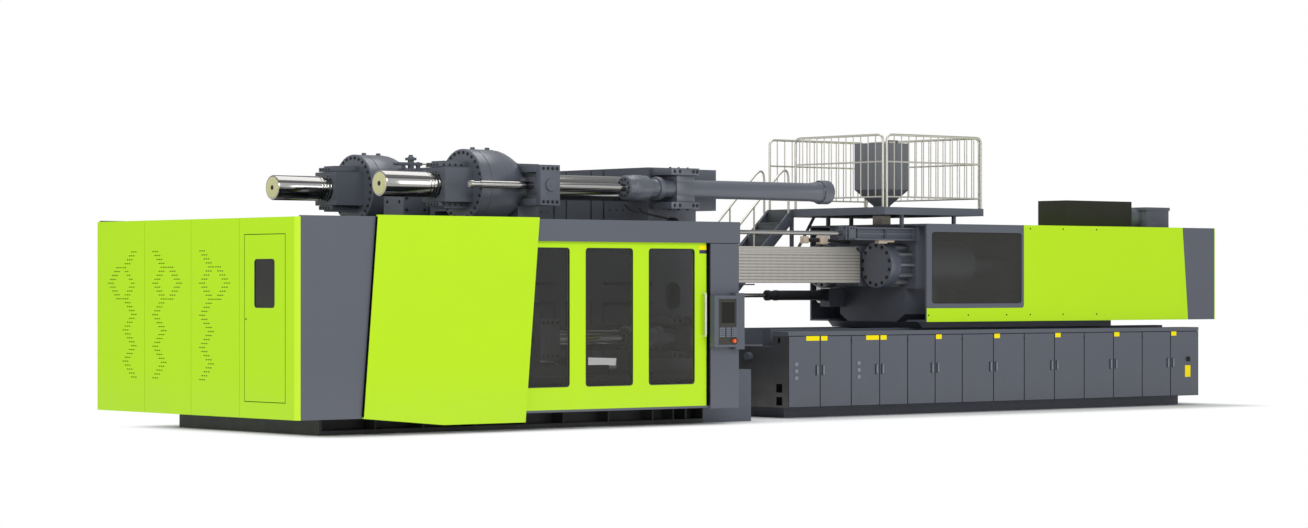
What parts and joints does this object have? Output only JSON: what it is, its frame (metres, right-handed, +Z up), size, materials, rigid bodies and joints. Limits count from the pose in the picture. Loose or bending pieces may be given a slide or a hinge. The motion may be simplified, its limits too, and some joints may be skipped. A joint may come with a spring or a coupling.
{
  "type": "injection moulding machine",
  "caption": "Large two-platen injection moulding machine with guarded clamp unit, injection unit, cabinets, hopper and service platform.",
  "frame": {"origin": "on the floor below the centre of the fixed platen's mould face", "axes": "+X along the machine towards the injection end, +Y away from the operator side, +Z up"},
  "size_m": [19.451, 5.259, 4.396],
  "materials": {
    "green_paint": "satin",
    "grey_paint": "satin",
    "dark_paint": "satin",
    "bare_steel": "ground",
    "chrome_rod": "polished",
    "perforated_steel": "perforated",
    "tinted_glass": "tinted, gloss",
    "bright_tube": "bright",
    "black_box": "matte",
    "control_face": "matte",
    "stop_red": "gloss"
  },
  "bodies": {
    "machine": {"clamp_bed": "grey_paint", "guide_rails": "bare_steel", "fixed_platen": "grey_paint", "tie_bars": "chrome_rod", "tie_bar_nuts": "grey_paint", "opening_cylinders": "grey_paint", "part_chute": "bare_steel", "front_guard_frame": "grey_paint", "rear_guard_frame": "grey_paint", "wedge_panels": "green_paint", "end_panels": "green_paint", "control_arm": "grey_paint", "carriage_rods": "chrome_rod", "injection_bed": "grey_paint", "cabinet_shell": "grey_paint"},
    "platen": {"moving_platen": "grey_paint", "clamp_cylinders": "grey_paint", "nut_housings": "grey_paint", "opening_rods": "grey_paint"},
    "front_nuts": {"front_nut_halves": "bare_steel"},
    "rear_nuts": {"rear_nut_halves": "bare_steel"},
    "ejector_body": {"ejector": "bare_steel"},
    "front_door_body": {"front_door": "grey_paint", "front_door_windows": "tinted_glass"},
    "rear_door_body": {"rear_door": "grey_paint", "rear_door_windows": "tinted_glass"},
    "service_door": {"end_door": "green_paint", "end_door_window": "tinted_glass"},
    "control_body": {"control_box": "control_face"},
    "button_body": {"stop_button": "stop_red"},
    "carriage": {"injection_base": "grey_paint", "barrel": "bare_steel", "barrel_cover": "perforated_steel", "injection_cylinders": "grey_paint", "carriage_cylinders": "grey_paint", "injection_guard": "green_paint", "guard_window": "tinted_glass", "top_boxes": "black_box", "platform": "grey_paint", "handrails": "bright_tube", "stairs": "grey_paint", "hopper": "grey_paint"},
    "lid_body": {"hopper_lid": "grey_paint"},
    "drive": {"drive_head": "grey_paint"},
    "screw_body": {"screw": "bare_steel"},
    "switch_body": {"main_switch": "black_box"},
    "cabinet_1": {"cabinet_door_1": "grey_paint"},
    "cabinet_2": {"cabinet_door_2": "grey_paint"},
    "cabinet_3": {"cabinet_door_3": "grey_paint"},
    "cabinet_4": {"cabinet_door_4": "grey_paint"},
    "cabinet_5": {"cabinet_door_5": "grey_paint"},
    "cabinet_6": {"cabinet_door_6": "grey_paint"},
    "cabinet_7": {"cabinet_door_7": "grey_paint"},
    "cabinet_8": {"cabinet_door_8": "grey_paint"},
    "cabinet_9": {"cabinet_door_9": "grey_paint"},
    "cabinet_10": {"cabinet_door_10": "grey_paint"},
    "cabinet_11": {"cabinet_door_11": "grey_paint"},
    "cabinet_12": {"cabinet_door_12": "grey_paint"},
    "cabinet_13": {"cabinet_door_13": "grey_paint"},
    "cabinet_14": {"cabinet_door_14": "grey_paint"}
  },
  "joints": [
    {"name": "platen_slide", "type": "slide", "parent": "machine", "child": "platen", "axis": [1, 0, 0], "range_m": [-0.6, 1.1]},
    {"name": "front_nut_slide", "type": "slide", "parent": "platen", "child": "front_nuts", "axis": [0, 1, 0], "range_m": [0, 0.03]},
    {"name": "rear_nut_slide", "type": "slide", "parent": "platen", "child": "rear_nuts", "axis": [0, 1, 0], "range_m": [-0.03, 0]},
    {"name": "ejector_slide", "type": "slide", "parent": "platen", "child": "ejector_body", "axis": [1, 0, 0], "range_m": [0, 0.3]},
    {"name": "front_door_slide", "type": "slide", "parent": "machine", "child": "front_door_body", "axis": [1, 0, 0], "range_m": [-2.15, 0]},
    {"name": "rear_door_slide", "type": "slide", "parent": "machine", "child": "rear_door_body", "axis": [1, 0, 0], "range_m": [-2.15, 0]},
    {"name": "service_door_hinge", "type": "hinge", "parent": "machine", "child": "service_door", "pos_m": [-6.696, -2.238, 1.575], "axis": [0, 0, 1], "range_deg": [0, 100]},
    {"name": "control_box_hinge", "type": "hinge", "parent": "machine", "child": "control_body", "pos_m": [0.85, -2.6, 1.4925], "axis": [0, 0, 1], "range_deg": [0, 90]},
    {"name": "stop_button_slide", "type": "slide", "parent": "control_body", "child": "button_body", "axis": [0, 1, 0], "range_m": [0, 0.005], "stiffness_N_per_m": 600},
    {"name": "cabinet_hinge_1", "type": "hinge", "parent": "machine", "child": "cabinet_1", "pos_m": [2.876, -1.48, 0.7015], "axis": [0, 0, -1], "range_deg": [0, 85]},
    {"name": "cabinet_hinge_2", "type": "hinge", "parent": "machine", "child": "cabinet_2", "pos_m": [4.166, -1.48, 0.7015], "axis": [0, 0, 1], "range_deg": [0, 85]},
    {"name": "cabinet_hinge_3", "type": "hinge", "parent": "machine", "child": "cabinet_3", "pos_m": [4.172, -1.48, 0.7015], "axis": [0, 0, -1], "range_deg": [0, 85]},
    {"name": "cabinet_hinge_4", "type": "hinge", "parent": "machine", "child": "cabinet_4", "pos_m": [5.366, -1.48, 0.7015], "axis": [0, 0, 1], "range_deg": [0, 85]},
    {"name": "cabinet_hinge_5", "type": "hinge", "parent": "machine", "child": "cabinet_5", "pos_m": [5.372, -1.48, 0.7015], "axis": [0, 0, -1], "range_deg": [0, 85]},
    {"name": "cabinet_hinge_6", "type": "hinge", "parent": "machine", "child": "cabinet_6", "pos_m": [6.566, -1.48, 0.7015], "axis": [0, 0, 1], "range_deg": [0, 85]},
    {"name": "cabinet_hinge_7", "type": "hinge", "parent": "machine", "child": "cabinet_7", "pos_m": [6.572, -1.48, 0.7015], "axis": [0, 0, -1], "range_deg": [0, 85]},
    {"name": "cabinet_hinge_8", "type": "hinge", "parent": "machine", "child": "cabinet_8", "pos_m": [7.97, -1.48, 0.7015], "axis": [0, 0, 1], "range_deg": [0, 85]},
    {"name": "cabinet_hinge_9", "type": "hinge", "parent": "machine", "child": "cabinet_9", "pos_m": [7.976, -1.48, 0.7015], "axis": [0, 0, -1], "range_deg": [0, 85]},
    {"name": "cabinet_hinge_10", "type": "hinge", "parent": "machine", "child": "cabinet_10", "pos_m": [9.374, -1.48, 0.7015], "axis": [0, 0, 1], "range_deg": [0, 85]},
    {"name": "cabinet_hinge_11", "type": "hinge", "parent": "machine", "child": "cabinet_11", "pos_m": [9.38, -1.48, 0.7015], "axis": [0, 0, -1], "range_deg": [0, 85]},
    {"name": "cabinet_hinge_12", "type": "hinge", "parent": "machine", "child": "cabinet_12", "pos_m": [10.778, -1.48, 0.7015], "axis": [0, 0, 1], "range_deg": [0, 85]},
    {"name": "cabinet_hinge_13", "type": "hinge", "parent": "machine", "child": "cabinet_13", "pos_m": [10.784, -1.48, 0.7015], "axis": [0, 0, -1], "range_deg": [0, 85]},
    {"name": "cabinet_hinge_14", "type": "hinge", "parent": "machine", "child": "cabinet_14", "pos_m": [12.182, -1.48, 0.7015], "axis": [0, 0, 1], "range_deg": [0, 85]},
    {"name": "main_switch_turn", "type": "hinge", "parent": "cabinet_14", "child": "switch_body", "pos_m": [11.915, -1.48, 0.775], "axis": [0, 1, 0], "range_deg": [0, 90]},
    {"name": "carriage_slide", "type": "slide", "parent": "machine", "child": "carriage", "axis": [1, 0, 0], "range_m": [0, 0.7]},
    {"name": "hopper_lid_hinge", "type": "hinge", "parent": "carriage", "child": "lid_body", "pos_m": [6.228, 0.355, 4.2645], "axis": [-1, 0, 0], "range_deg": [0, 100]},
    {"name": "drive_slide", "type": "slide", "parent": "carriage", "child": "drive", "axis": [1, 0, 0], "range_m": [-0.9, 0]},
    {"name": "screw_turn", "type": "hinge", "parent": "drive", "child": "screw_body", "pos_m": [8.5, 0, 2.331], "axis": [1, 0, 0], "continuous": true}
  ],
  "couplings": [
    {"joint": "rear_nut_slide", "follows": "front_nut_slide", "ratio": -1}
  ]
}
